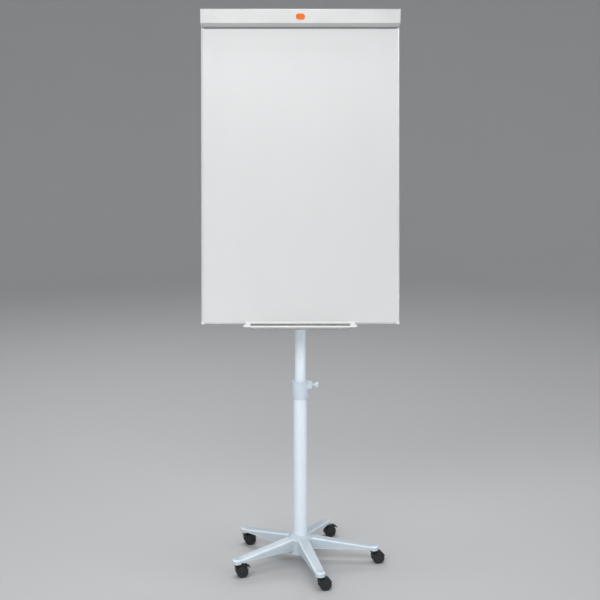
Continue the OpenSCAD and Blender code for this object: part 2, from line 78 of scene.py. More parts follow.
def board_box(node):
    """Lowest and highest corner of a CAD node in the board's own frame."""
    points = [BOARD_INVERSE @ v.co for v in frame["nodes"][node].data.vertices]
    low = Vector([min(p[i] for p in points) for i in range(3)])
    high = Vector([max(p[i] for p in points) for i in range(3)])
    return low, high


# Height of the pen tray's rim, just above the bottom edge of the writing surface
TRAY_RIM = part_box("writing_surface")[0].z + 5.2 * MM


# ---------------------------------------------------------------- materials

class Nodes:
    """A material's node tree with short calls for the nodes used here."""

    def __init__(self, name, colour, roughness, metallic=0.0, **sockets):
        self.material = bpy.data.materials.new(name)
        self.material.use_nodes = True
        self.tree = self.material.node_tree
        self.shader = self.tree.nodes["Principled BSDF"]
        self.set("Base Color", (*colour, 1.0))
        self.set("Roughness", roughness)
        self.set("Metallic", metallic)
        for key, value in sockets.items():
            self.set(key.replace("_", " "), value)
        self.place = self.node("ShaderNodeTexCoord").outputs["Object"]

    def set(self, socket, value):
        self.shader.inputs[socket].default_value = value

    def node(self, kind, **settings):
        made = self.tree.nodes.new(kind)
        for key, value in settings.items():
            setattr(made, key, value)
        return made

    def link(self, source, target):
        self.tree.links.new(source, target)

    def noise(self, scale, detail=3.0, stretch=(1, 1, 1), roughness=0.5, distortion=0.0):
        mapping = self.node("ShaderNodeMapping")
        mapping.inputs["Scale"].default_value = stretch
        self.link(self.place, mapping.inputs["Vector"])
        noise = self.node("ShaderNodeTexNoise")
        noise.inputs["Scale"].default_value = scale
        noise.inputs["Detail"].default_value = detail
        noise.inputs["Roughness"].default_value = roughness
        noise.inputs["Distortion"].default_value = distortion
        self.link(mapping.outputs["Vector"], noise.inputs["Vector"])
        return noise.outputs["Fac"]

    def ramp(self, source, low, high, to_low=0.0, to_high=1.0):
        ramp = self.node("ShaderNodeMapRange")
        for key, value in (("From Min", low), ("From Max", high),
                           ("To Min", to_low), ("To Max", to_high)):
            ramp.inputs[key].default_value = value
        self.link(source, ramp.inputs["Value"])
        return ramp.outputs["Result"]

    def blend(self, factor, first, second):
        """Mixes a colour, or what already feeds the base colour, with a second colour."""
        mix = self.node("ShaderNodeMix", data_type="RGBA")
        self.link(factor, mix.inputs["Factor"])
        if isinstance(first, tuple):
            mix.inputs["A"].default_value = (*first, 1.0)
        else:
            self.link(first, mix.inputs["A"])
        mix.inputs["B"].default_value = (*second, 1.0)
        return mix.outputs["Result"]

    def colour(self, source):
        self.link(source, self.shader.inputs["Base Color"])

    def roughness(self, source):
        self.link(source, self.shader.inputs["Roughness"])

    def bump(self, source, distance, strength=1.0):
        bump = self.node("ShaderNodeBump")
        bump.inputs["Strength"].default_value = strength
        bump.inputs["Distance"].default_value = distance
        self.link(source, bump.inputs["Height"])
        current = self.shader.inputs["Normal"]
        if current.is_linked:
            self.link(current.links[0].from_socket, bump.inputs["Normal"])
        self.link(bump.outputs["Normal"], current)


def shade(colour, factor):
    """A colour made darker or lighter by a factor."""
    return tuple(min(1.0, c * factor) for c in colour)


def lacquered_board():
    """Glossy dry-wipe lacquer on steel: a faint orange peel, wipe haze and soft streaks."""
    base = (0.62, 0.631, 0.631)
    m = Nodes("lacquered_board", base, 0.32, Coat_Weight=0.2, Coat_Roughness=0.3)
    haze = m.noise(5.0, 4.0, (1.0, 1.0, 0.35), distortion=1.2)
    streaks = m.noise(60.0, 2.0, (1.0, 1.0, 0.06))
    m.colour(m.blend(m.ramp(haze, 0.45, 0.75, 0.0, 0.5), base, shade(base, 0.965)))
    m.roughness(m.ramp(streaks, 0.3, 0.7, 0.3, 0.36))
    m.bump(m.noise(420.0, 1.0), 0.00001, 0.3)
    return m.material


def lacquered_bar():
    """Satin white lacquer on the clamp bar's extrusion, with its faint drawing lines."""
    base = (0.58, 0.587, 0.587)
    m = Nodes("lacquered_bar", base, 0.34, Coat_Weight=0.15, Coat_Roughness=0.2)
    lines = m.noise(900.0, 1.0, (0.01, 1.0, 1.0))
    clouds = m.noise(9.0, 3.0)
    m.colour(m.blend(m.ramp(clouds, 0.4, 0.75, 0.0, 0.6), base, shade(base, 0.95)))
    m.roughness(m.ramp(clouds, 0.3, 0.7, 0.3, 0.4))
    m.bump(lines, 0.00002, 0.5)
    return m.material


def powder_coat(name, base, roughness, peel, edges=0.0):
    """Powder coat: an even, fine orange peel, slight clouds, and a painted highlight that lightens the convex
    edges by as much as edges asks.
    """
    m = Nodes(name, base, roughness, Coat_Weight=0.35, Coat_Roughness=0.22, Specular_IOR_Level=0.6)
    clouds = m.noise(6.0, 2.0)
    cloudy = m.blend(m.ramp(clouds, 0.4, 0.8, 0.0, 0.4), base, shade(base, 0.97))
    # Painted highlight: convex edges, found by their pointiness, are lightened towards half again the base colour.
    painted_highlight_edges = m.node("ShaderNodeNewGeometry").outputs["Pointiness"]
    m.colour(m.blend(m.ramp(painted_highlight_edges, 0.505, 0.535, 0.0, edges), cloudy, shade(base, 1.5)))
    m.roughness(m.ramp(m.noise(peel, 1.0), 0.3, 0.7, roughness - 0.03, roughness + 0.03))
    m.bump(m.noise(peel, 1.0), 0.00001, 0.25)
    return m.material


def anodised(name, base, roughness, along, metallic):
    """Satin anodised aluminium, drawn along one axis."""
    m = Nodes(name, base, roughness, metallic)
    stretch = tuple(0.015 if i == along else 1.0 for i in range(3))
    lines = m.noise(1400.0, 2.0, stretch)
    m.colour(m.blend(m.ramp(lines, 0.3, 0.7), shade(base, 0.93), base))
    m.roughness(m.ramp(m.noise(30.0, 2.0), 0.3, 0.7, roughness - 0.05, roughness + 0.08))
    m.bump(lines, 0.00003, 0.5)
    return m.material


def zinc_steel():
    """Bright zinc plating with the mottled bloom of a passivated surface."""
    base = (0.60, 0.61, 0.60)
    m = Nodes("zinc_steel", base, 0.3, 1.0)
    bloom = m.noise(160.0, 4.0, distortion=0.8)
    m.colour(m.blend(m.ramp(bloom, 0.35, 0.7), base, (0.50, 0.50, 0.47)))
    m.roughness(m.ramp(bloom, 0.3, 0.7, 0.22, 0.42))
    m.bump(m.noise(900.0, 2.0), 0.00002, 0.4)
    return m.material


def plain_aluminium():
    """Mill-finish sheet with rolling lines."""
    base = (0.62, 0.63, 0.64)
    m = Nodes("plain_aluminium", base, 0.5, 0.7)
    lines = m.noise(500.0, 3.0, (1.0, 1.0, 0.01))
    clouds = m.noise(4.0, 4.0)
    m.colour(m.blend(m.ramp(clouds, 0.35, 0.7), base, shade(base, 0.95)))
    m.roughness(m.ramp(clouds, 0.3, 0.7, 0.48, 0.56))
    m.bump(lines, 0.00003, 0.5)
    return m.material


def moulded(name, base, roughness, grain=1500.0, depth=0.00003, clouds=0.94):
    """Moulded plastic with a spark-eroded grain and a slightly uneven sheen."""
    m = Nodes(name, base, roughness)
    cloud = m.noise(25.0, 3.0)
    m.colour(m.blend(m.ramp(cloud, 0.4, 0.75), base, shade(base, clouds)))
    m.roughness(m.ramp(m.noise(60.0, 2.0), 0.3, 0.7, roughness - 0.06, roughness + 0.08))
    m.bump(m.noise(grain, 2.0), depth, 0.6)
    return m.material


def tray_plastic_and_painted_shade():
    """White moulded plastic, with painted shade that darkens the trough's inside below the rim."""
    base = (0.76, 0.765, 0.76)
    m = Nodes("tray_plastic_and_painted_shade", base, 0.36)
    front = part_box("pen_tray")[0].y
    axes = m.node("ShaderNodeSeparateXYZ")
    m.link(m.place, axes.inputs["Vector"])
    # Painted shade: below the rim and behind the front wall the trough is darkened, in patches.
    below = m.ramp(axes.outputs["Z"], TRAY_RIM - 1.5 * MM, TRAY_RIM - 4 * MM)
    inside = m.ramp(axes.outputs["Y"], front + 5.8 * MM, front + 8 * MM)
    painted_shade_mask = m.node("ShaderNodeMath", operation="MULTIPLY")
    m.link(below, painted_shade_mask.inputs[0])
    m.link(inside, painted_shade_mask.inputs[1])
    patchy_painted_shade = m.node("ShaderNodeMath", operation="MULTIPLY")
    m.link(painted_shade_mask.outputs["Value"], patchy_painted_shade.inputs[0])
    m.link(m.ramp(m.noise(70.0, 4.0), 0.3, 0.6, 0.75, 1.0), patchy_painted_shade.inputs[1])
    m.colour(m.blend(patchy_painted_shade.outputs["Value"], base, shade(base, 0.4)))
    m.roughness(m.ramp(m.noise(60.0, 2.0), 0.3, 0.7, 0.3, 0.44))
    m.bump(m.noise(1500.0, 2.0), 0.00003, 0.6)
    return m.material


def caster_tread():
    """Dark tread, dusty and scuffed where it rolls."""
    base = (0.011, 0.014, 0.016)
    m = Nodes("caster_tread", base, 0.48)
    dust = m.noise(220.0, 4.0)
    m.colour(m.blend(m.ramp(dust, 0.5, 0.75, 0.0, 0.35), base, (0.04, 0.04, 0.038)))
    m.roughness(m.ramp(dust, 0.3, 0.7, 0.42, 0.7))
    m.bump(m.noise(1200.0, 2.0), 0.00005, 0.5)
    return m.material


def fibreboard():
    """Pale pressed fibreboard."""
    base = (0.42, 0.32, 0.21)
    m = Nodes("fibreboard", base, 0.85)
    fibres = m.noise(500.0, 5.0, (1.0, 1.0, 0.25), distortion=1.0)
    m.colour(m.blend(m.ramp(fibres, 0.35, 0.65), base, (0.30, 0.22, 0.14)))
    m.bump(fibres, 0.0002, 0.6)
    return m.material


MATERIALS = {
    "lacquered_sheet": lacquered_board(),
    "lacquered_bar": lacquered_bar(),
    "tube_lacquer": powder_coat("tube_lacquer", (0.77, 0.86, 0.94), 0.28, 700.0),
    # The base's coat has the painted highlight on its convex edges at full strength.
    "base_lacquer": powder_coat("base_lacquer", (0.545, 0.622, 0.69), 0.22, 600.0, 1.0),
    "anodised": anodised("anodised_up", (0.60, 0.615, 0.63), 0.4, 2, 0.3),
    # A darker copy of the anodised aluminium for the rails that run along X: painted shade.
    "anodised_across_painted_shade": anodised("anodised_across_painted_shade", (0.44, 0.45, 0.46), 0.45, 0, 0.3),
    "plain_aluminium": plain_aluminium(),
    "zinc_steel": zinc_steel(),
    "white_plastic": moulded("white_plastic", (0.68, 0.69, 0.69), 0.36),
    "grey_plastic": moulded("grey_plastic", (0.60, 0.68, 0.76), 0.36),
    "tray_plastic_and_painted_shade": tray_plastic_and_painted_shade(),
    "black_plastic": moulded("black_plastic", (0.012, 0.015, 0.018), 0.42, clouds=0.8),
    "wheel_plastic": caster_tread(),
    "rubber": moulded("rubber", (0.19, 0.193, 0.197), 0.72, 800.0, 0.00008, 0.9),
    "board_core": fibreboard(),
    "badge_orange": moulded("badge_orange", (0.86, 0.165, 0.004), 0.66, 500.0, 0.00001, 0.92),
}
SLOTS = {s["node"]: s["material_slot"] for s in RECORD["subparts"]}


# ---------------------------------------------------------------- mesh helpers

def piece(name, mesh, body, material, node):
    """Links a mesh as a piece that rides on a body and stands for a CAD node."""
    made = bpy.data.objects.new(name, mesh)
    bpy.context.scene.collection.objects.link(made)
    mesh.materials.append(MATERIALS[material])
    for polygon in mesh.polygons:
        polygon.use_smooth = True
    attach(made, body)
    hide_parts(node)
    return made


def flat_faces(made):
    """Keeps the flat faces flat in the shading."""
    made.modifiers.new("shading", "WEIGHTED_NORMAL").keep_sharp = True


def finish_edges(made, width, angle=35):
    """Rounds the edges that are sharper than an angle in degrees."""
    bevel = made.modifiers.new("edges", "BEVEL")
    bevel.width = width
    bevel.segments = 2
    bevel.limit_method = "ANGLE"
    bevel.angle_limit = math.radians(angle)
    flat_faces(made)


def refined(node, width, material):
    """A copy of a CAD node with its coplanar triangles joined and its edges rounded."""
    bm = bmesh.new()
    bm.from_mesh(frame["nodes"][node].data)
    bmesh.ops.remove_doubles(bm, verts=bm.verts, dist=0.00001)
    bmesh.ops.dissolve_limit(bm, angle_limit=math.radians(0.6), verts=bm.verts, edges=bm.edges)
    mesh = bpy.data.meshes.new(node + "_piece")
    bm.to_mesh(mesh)
    bm.free()
    finish_edges(piece(node + "_piece", mesh, NODE_BODY[node], material, node), width)


def mesh_from(name, verts, faces, matrix=None):
    """A mesh with doubled points merged and its normals facing out."""
    mesh = bpy.data.meshes.new(name)
    mesh.from_pydata([matrix @ Vector(v) for v in verts] if matrix else verts, [], faces)
    bm = bmesh.new()
    bm.from_mesh(mesh)
    bmesh.ops.remove_doubles(bm, verts=bm.verts, dist=0.000005)
    bmesh.ops.recalc_face_normals(bm, faces=bm.faces)
    bm.to_mesh(mesh)
    bm.free()
    return mesh


def arc(centre, radius, start, end, steps):
    """Points of an arc in a plane, from start to end in degrees."""
    return [(centre[0] + radius * math.cos(math.radians(start + (end - start) * i / steps)),
             centre[1] + radius * math.sin(math.radians(start + (end - start) * i / steps)))
            for i in range(steps + 1)]


def turned(profile, segments):
    """The points of a profile of (radius, z), turned round Z."""
    angles = [2 * math.pi * i / segments for i in range(segments)]
    return [(r * math.cos(a), r * math.sin(a), z) for a in angles for r, z in profile]


def lathe(name, profile, matrix=None, segments=64):
    """A closed turned shape round Z. The profile runs from axis to axis, or it is a loop."""
    faces, count = [], len(profile)
    for i in range(segments):
        j = (i + 1) % segments
        for k in range(count):
            n = (k + 1) % count
            if profile[k][0] == 0 and profile[n][0] == 0:
                continue
            faces.append((i * count + k, j * count + k, j * count + n, i * count + n))
    return mesh_from(name, turned(profile, segments), faces, matrix)


def prism(name, outline, x0, x1, matrix=None):
    """An outline in (Y, Z), drawn along X from x0 to x1, with closed ends."""
    count = len(outline)
    verts = [(x0, y, z) for y, z in outline] + [(x1, y, z) for y, z in outline]
    faces = [(k, (k + 1) % count, count + (k + 1) % count, count + k) for k in range(count)]
    faces += [tuple(range(count - 1, -1, -1)), tuple(range(count, 2 * count))]
    return mesh_from(name, verts, faces, matrix)


def loft(name, loops, matrix=None):
    """Joins equal loops of points by quads, and caps the first and the last."""
    count = len(loops[0])
    verts = [p for loop in loops for p in loop]
    faces = []
    for i in range(len(loops) - 1):
        for k in range(count):
            n = (k + 1) % count
            faces.append((i * count + k, i * count + n, (i + 1) * count + n, (i + 1) * count + k))
    last = (len(loops) - 1) * count
    faces += [tuple(range(count - 1, -1, -1)), tuple(range(last, last + count))]
    return mesh_from(name, verts, faces, matrix)


def filleted(outline, radius, steps=4):
    """Rounds every corner of a closed outline, by as much of the radius as its edges leave room for."""
    out, count = [], len(outline)
    for i, corner in enumerate(outline):
        here = Vector(corner)
        before, after = Vector(outline[i - 1]) - here, Vector(outline[(i + 1) % count]) - here
        half = before.angle(after) / 2
        if half > math.radians(85) or min(before.length, after.length) < radius * 0.2:
            out.append(tuple(here))
            continue
        reach = min(radius / math.tan(half), before.length * 0.45, after.length * 0.45)
        start, end = here + before.normalized() * reach, here + after.normalized() * reach
        for k in range(steps + 1):
            t = k / steps
            out.append(tuple(start * (1 - t) ** 2 + here * 2 * t * (1 - t) + end * t ** 2))
    return out


def joined(name, meshes):
    """Puts several meshes into one."""
    whole = bmesh.new()
    for part in meshes:
        whole.from_mesh(part)
        bpy.data.meshes.remove(part)
    mesh = bpy.data.meshes.new(name)
    whole.to_mesh(mesh)
    whole.free()
    return mesh


def applied(made):
    """Replaces a piece's mesh with what its modifiers make of it."""
    graph = bpy.context.evaluated_depsgraph_get()
    mesh = bpy.data.meshes.new_from_object(made.evaluated_get(graph))
    made.modifiers.clear()
    made.data = mesh
    for polygon in mesh.polygons:
        polygon.use_smooth = True


def fused(made, voxel):
    """Fuses overlapping shells into one casting and softens its corners."""
    fuse = made.modifiers.new("fuse", "REMESH")
    fuse.mode = "VOXEL"
    fuse.voxel_size = voxel
    soften = made.modifiers.new("soften", "SMOOTH")
    soften.factor = 0.5
    soften.iterations = 2
    applied(made)


def carved(made, cutters):
    """Cuts closed shapes out of a piece."""
    for mesh in cutters:
        tool = bpy.data.objects.new("cutter", mesh)
        bpy.context.scene.collection.objects.link(tool)
        cut = made.modifiers.new("cut", "BOOLEAN")
        cut.operation, cut.solver, cut.object = "DIFFERENCE", "EXACT", tool
        applied(made)
        bpy.data.objects.remove(tool)
    flat_faces(made)


# ---------------------------------------------------------------- star base

ARMS = [Vector(JOINTS["caster_%d_swivel" % n]["pos_m"]) for n in range(1, 6)]
SWIVEL_R = math.hypot(ARMS[0].x, ARMS[0].y)
HUB_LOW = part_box("base_bolt")[0].z + 9 * MM
HUB_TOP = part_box("star_base")[1].z
TUBE_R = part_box("lower_tube")[1].x
# Half width of an arm at the hub and at its tip, its rounded upper edge, its draft and its wall
ARM_ROOT, ARM_TIP, ARM_EDGE, ARM_DRAFT, ARM_WALL = 22 * MM, 18.5 * MM, 5.2 * MM, 0.8 * MM, 4 * MM
# Height of an arm's top at the hub and at its tip, and of its lower edge
TOP_ROOT, TOP_TIP, ARM_LOW = HUB_TOP - 8 * MM, HUB_TOP - 39.5 * MM, HUB_LOW + 15.5 * MM


def arm_section(r):
    """An arm's arched section at radius r, as (across, height) points: outer skin, then inner skin."""
    fall = max(0.0, min(1.0, (r - 50 * MM) / (SWIVEL_R - 65 * MM)))
    taper = max(0.0, min(1.0, (r - 60 * MM) / (SWIVEL_R - 60 * MM)))
    half = ARM_ROOT + (ARM_TIP - ARM_ROOT) * taper
    top = TOP_ROOT + (TOP_TIP - TOP_ROOT) * fall
    low, edge, inward = ARM_LOW, ARM_EDGE, ARM_EDGE + ARM_DRAFT
    outer = [(-half, low)] + arc((inward - half, top - edge), edge, 180, 90, 6)
    outer += arc((half - inward, top - edge), edge, 90, 0, 6) + [(half, low)]
    inside, lid, soft = half - ARM_WALL, top - ARM_WALL, 2 * MM
    inner = [(inside, low)] + arc((inside - soft, lid - soft), soft, 0, 90, 2)
    inner += arc((soft - inside, lid - soft), soft, 90, 180, 2) + [(-inside, low)]
    return outer + inner


def star_mesh():
    """Hub, arched arms, ribs and tip bosses, before they are fused into one casting."""
    hub_r, ring = 48 * MM, TUBE_R + 2.6 * MM
    profile = [(0, HUB_LOW), (hub_r - 1.5 * MM, HUB_LOW), (hub_r, HUB_LOW + 1.5 * MM)]
    profile += arc((hub_r - 7 * MM, TOP_ROOT - 5.5 * MM), 5.5 * MM, 4, 80, 6)
    profile += [(36 * MM, HUB_TOP - 3.2 * MM), (ring + 2.5 * MM, HUB_TOP - 0.5 * MM),
                (ring + 1.2 * MM, HUB_TOP), (ring, HUB_TOP - 0.6 * MM),
                (ring, HUB_TOP - 5 * MM), (0, HUB_TOP - 5 * MM)]
    parts = [lathe("hub", profile, segments=96)]
    loops = [[(r * MM, y, z) for y, z in arm_section(r * MM)]
             for r in (20, 50, 60, 100, 150, 200, 235, 253, 262)]
    rib_half, rib_low, rib_high = 17.5 * MM, ARM_LOW + MM, ARM_LOW + 12 * MM
    rib = [(-rib_half, rib_low), (rib_half, rib_low), (rib_half, rib_high), (-rib_half, rib_high)]
    tip_low = HUB_LOW + 8.5 * MM
    tip = [(0, tip_low), (ARM_TIP - 2 * MM, tip_low), (ARM_TIP - 0.5 * MM, tip_low + 1.2 * MM)]
    tip += arc((ARM_TIP - ARM_EDGE - ARM_DRAFT, TOP_TIP - ARM_EDGE), ARM_EDGE, 0, 90, 6)
    tip.append((0, TOP_TIP))
    for pivot in ARMS:
        turn = Matrix.Rotation(math.atan2(pivot.y, pivot.x), 4, "Z")
        parts.append(loft("arm", loops, turn))
        for r in (100 * MM, 150 * MM, 200 * MM):
            parts.append(prism("rib", rib, r - 1.5 * MM, r + 1.5 * MM, turn))
        parts.append(lathe("tip", tip, Matrix.Translation((pivot.x, pivot.y, 0))))
    return joined("star_base_casting", parts)


def star():
    made = piece("star_base_casting", star_mesh(), "base", "base_lacquer", "star_base")
    fused(made, (1.8) * MM)


# ---------------------------------------------------------------- mast

LUG_HALF = 12.5 * MM


def lug_loops(sleeve_r, reach, screw_z):
    """The lug seen from above: as broad as the sleeve at its root, narrowing to its rounded end."""
    corner_r, edge = 5 * MM, 2.2 * MM
    low, high = screw_z - LUG_HALF, screw_z + LUG_HALF
    loops = []
    for inset, z in ((edge, low), (edge * 0.3, low + edge * 0.3), (0, low + edge), (0, high - edge),
                     (edge * 0.3, high - edge * 0.3), (edge, high)):
        half_loop = [(reach - corner_r + (corner_r - inset) * x, LUG_HALF - inset - corner_r * (1 - y))
                     for x, y in arc((0, 0), 1, 0, 90, 5)]
        half_loop += [(8 * MM, sleeve_r - inset - 1.2 * MM), (2 * MM, sleeve_r - inset - 0.2 * MM)]
        loops.append([(x, y, z) for x, y in half_loop] + [(x, -y, z) for x, y in reversed(half_loop)])
    return loops


def collar():
    """The moulded collar: a sleeve with a countersunk mouth, fused with the thumb screw's lug."""
    lo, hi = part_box("collar")
    outer, edge = -lo.x, 2.4 * MM
    bore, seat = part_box("upper_tube")[1].x + 0.6 * MM, TUBE_R + 0.4 * MM
    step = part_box("lower_tube")[1].z + 0.5 * MM
    mouth, above = bore + 4.5 * MM, hi.z + 0.4 * MM
    countersink = [(bore, hi.z - 5 * MM), (bore + 0.6 * MM, hi.z - 4 * MM)]
    profile = [(seat, lo.z + MM), (seat + MM, lo.z)]
    profile += arc((outer - edge, lo.z + edge), edge, -90, 0, 6)
    profile += arc((outer - edge, hi.z - edge), edge, 0, 90, 6)
    profile += [(mouth, hi.z)] + countersink[::-1] + [(bore, step), (seat, step)]
    screw_z = JOINTS["lock_turn"]["pos_m"][2]
    parts = [lathe("sleeve", profile, segments=96), loft("lug", lug_loops(outer, hi.x, screw_z))]
    made = piece("collar_moulding", joined("collar_moulding", parts), "base", "grey_plastic", "collar")
    fused(made, (0.7) * MM)

    way_r, way_start, way_end = 4.6 * MM, 10 * MM, 60 * MM
    way = [(0, way_start), (way_r, way_start), (way_r, way_end), (0, way_end)]
    aside = Matrix.Translation((0, 0, screw_z)) @ Matrix.Rotation(math.pi / 2, 4, "Y")
    hole = [(0, step), (bore, step)] + countersink + [(mouth, above), (0, above)]
    carved(made, [lathe("screw_way", way, aside, 48), lathe("bore", hole, segments=96)])


def knob():
    """The thumb screw's knob: a smooth neck that flares into a fluted grip with a domed end."""
    lo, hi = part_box("clamp_knob")
    screw_z = JOINTS["lock_turn"]["pos_m"][2]
    length, grip, neck, flute = hi.x - lo.x, 10.4 * MM, 5 * MM, 1.5 * MM
    lobes, segments = 7, 140
    # Radius, and how far along the knob it lies
    outline = [(neck, 0), (neck, 0.30), (neck + 0.8 * MM, 0.36), (grip - 1.6 * MM, 0.46), (grip, 0.54),
               (grip, 0.9), (grip - 0.8 * MM, 0.96), (grip - 2.2 * MM, 1.0), (4 * MM, 1.0),
               (3.2 * MM, 0.97)]
    loops = []
    for radius, along in outline:
        fluted = max(0.0, min(1.0, (along - 0.4) / 0.12)) if radius > neck + MM else 0
        loop = []
        for i in range(segments):
            a = 2 * math.pi * i / segments
            r = radius - flute * fluted * (0.5 - 0.5 * math.cos(lobes * a)) ** 1.5
            loop.append((lo.x + length * along, r * math.cos(a), screw_z + r * math.sin(a)))
        loops.append(loop)
    made = piece("clamp_knob_fluted", loft("clamp_knob_fluted", loops), NODE_BODY["clamp_knob"],
                 "grey_plastic", "clamp_knob")
    finish_edges(made, 0.3 * MM, 30)


# ---------------------------------------------------------------- pad clamp

BEND_R = 5 * MM


def bar_face():
    """The clamp bar's outer face in the board's (Y, Z): top, bend, flat front, shoulder and lip."""
    lo, hi = board_box("clamp_bar")
    face = [(-3 * MM, hi.z)] + arc((lo.y + BEND_R, hi.z - BEND_R), BEND_R, 90, 180, 8)
    return face + [(lo.y, hi.z - BEND_R - 44 * MM), (-18 * MM, hi.z - 57.4 * MM),
                   (-3.4 * MM, hi.z - 60.9 * MM)]


def clamp_profile():
    """The clamp bar's closed section: outer skin down, inner skin back up."""
    outer, skin = bar_face(), 2 * MM
    (back, top), (front, low), shoulder, lip = outer[0], outer[-3], outer[-2], outer[-1]
    outer.append((0.6 * MM, lip[1] + 1.6 * MM))
    inner = [(shoulder[0] + 0.9 * MM, shoulder[1] + 1.8 * MM), (front + skin, low + 0.9 * MM)]
    inner += arc((front + BEND_R, top - BEND_R), BEND_R - skin, 180, 90, 8)
    inner += [(back - skin, top - skin), (back - skin, top - 6 * MM), (back, top - 6 * MM)]
    return outer + inner


def clamp_bar():
    """The bar's extrusion over its full width."""
    half = board_box("clamp_bar")[1].x
    section = filleted(clamp_profile(), 0.5 * MM, 3)
    mesh = prism("clamp_bar_extrusion", section, -half, half, BOARD)
    flat_faces(piece("clamp_bar_extrusion", mesh, "clamp", "lacquered_bar", "clamp_bar"))


def end_caps():
    """Closed caps whose lower part tapers in along the bar, each with a boss round its hinge pin."""
    end = board_box("clamp_end_caps")[1].x
    bar_end = board_box("clamp_bar")[1].x
    pivot = BOARD_INVERSE @ Vector(JOINTS["clamp_open"]["pos_m"])
    outline = bar_face()
    top, low, lip = outline[0][1], outline[-3][1], outline[-1][1]
    taper, edge = 4 * MM, 0.9 * MM
    centre = Vector((sum(p[0] for p in outline) / len(outline), (top + low) / 2))

    def ring(x, shrink, lean):
        """The outline at x, drawn in towards its centre, and leaning in below the flat front."""
        points = []
        for y, z in outline:
            away = Vector((y, z)) - centre
            y2, z2 = centre + away * (1 - shrink / away.length)
            below = max(0.0, (low - z) / (low - lip))
            points.append((x - lean * below, y2, z2))
        return points

    loops = [ring(bar_end + 0.05 * MM, 0, 0), ring(end - edge, 0, 0.7 * taper),
             ring(end - edge * 0.3, edge * 0.35, taper), ring(end, edge, taper)]
    hole, boss_r, corner = 2.15 * MM, 5 * MM, 0.4 * MM
    inner, outer = end - 11.6 * MM, bar_end + 0.2 * MM
    boss = [(hole, inner), (boss_r - corner, inner), (boss_r, inner + corner), (boss_r, outer),
            (hole, outer)]
    parts = []
    for side in (-1, 1):
        flip = BOARD @ Matrix.Diagonal((side, 1, 1, 1))
        parts.append(loft("cap", loops, flip))
        pin = flip @ Matrix.Translation((0, pivot.y, pivot.z)) @ Matrix.Rotation(math.pi / 2, 4, "Y")
        parts.append(lathe("boss", boss, pin, 32))
    piece("clamp_caps", joined("clamp_caps", parts), "clamp", "white_plastic", "clamp_end_caps")


# ---------------------------------------------------------------- pen tray

# How far each loop of the tray's rim and mouth steps in, and how far it lies below the rim's top, in
# millimetres
RIM_ROLL = ((2.6, 3.3), (2.4, 3.7), (1.6, 3.9), (0.6, 3.7), (0.1, 3.2), (0, 2.6), (0, 1.6),
            (0.35, 0.7), (1.0, 0.15), (1.8, 0))
MOUTH_ROLL = ((-1.2, 0), (-0.5, 0.15), (-0.1, 0.7), (0, 2.2))


def rounded_plan(back_half, front_half, back, front, radius, inset, z):
    """A loop in plan with rounded corners; its ends may flare from the back to the front."""
    b, f = back_half - inset, front_half - inset
    y0, y1 = front + inset, back - inset
    r = max(0.3 * MM, radius - inset)
    loop = []
    for cx, cy, start in ((-f + r, y0 + r, 180), (f - r, y0 + r, 270), (b - r, y1 - r, 0),
                          (-b + r, y1 - r, 90)):
        loop += [(x, y, z) for x, y in arc((cx, cy), r, start, start + 90, 6)]
    return loop


def trough_loops(back):
    """Loops from under the trough, up its outside, over the rolled rim, and down its inside."""
    lo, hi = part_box("pen_tray")
    half, flare, corner_r = hi.x - 22.5 * MM, hi.x, 5 * MM
    wall_front, wall_back = lo.y + 4.2 * MM, back - 1.2 * MM
    loops = []
    for inset, setback, rise in ((6.6, 9.5, 0), (5.6, 8.0, 0.3), (4.9, 7.0, 1.2), (2.9, 4.0, 5.0)):
        wide = half - inset * MM
        loops.append(rounded_plan(wide, wide, wall_back - 0.3 * inset * MM, wall_front + setback * MM,
                                  corner_r, 0, lo.z + rise * MM))
    loops.append(rounded_plan(half, half, wall_back, wall_front, corner_r, 0, TRAY_RIM - 3.6 * MM))
    for inset, drop in RIM_ROLL:
        loops.append(rounded_plan(flare - 8 * MM, flare, back + MM, lo.y, 7 * MM, inset * MM,
                                  TRAY_RIM - drop * MM))

    mouth, mouth_r = half - 2 * MM, 4 * MM
    mouth_back, mouth_front = wall_back - 3.2 * MM, wall_front + 2.6 * MM
    for inset, drop in MOUTH_ROLL:
        loops.append(rounded_plan(mouth, mouth, mouth_back, mouth_front, mouth_r, inset * MM,
                                  TRAY_RIM - drop * MM))
    depth = (TRAY_RIM - lo.z) / MM
    for inset, drop in ((0.2, 2.5), (2.4, 0.55 * depth), (4.2, depth - 4), (5.0, depth - 2.6),
                        (6.4, depth - 2.0)):
        loops.append(rounded_plan(mouth, mouth, wall_back - (1.8 - inset) * MM,
                                  mouth_front + 0.5 * inset * MM, mouth_r, inset * MM,
                                  TRAY_RIM - drop * MM))
    return loops


def slab(name, half, low, high, round_r):
    """A flat strip along the board's bottom edge, between two corners in its (Y, Z), in millimetres."""
    corners = [low, (high[0], low[1]), high, (low[0], high[1])]
    outline = filleted([(y * MM, z * MM) for y, z in corners], round_r)
    return prism(name, outline, -half, half, BOARD)


def pen_tray():
    """A moulded trough with a rolled rim whose ends flare outwards, an upstand and a tab behind."""
    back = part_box("writing_surface")[0].y - 1.5 * MM
    upstand_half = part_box("pen_tray")[1].x - 8.5 * MM
    parts = [loft("trough", trough_loops(back)),
             slab("upstand", upstand_half, (-4, -2), (-2, 11), 0.9 * MM),
             slab("tab", 160 * MM, (-4, -2.4), (14, -0.3), 0.8 * MM)]
    flat_faces(piece("pen_tray_moulding", joined("pen_tray_moulding", parts), "board", "tray_plastic_and_painted_shade",
                     "pen_tray"))


# ---------------------------------------------------------------- casters

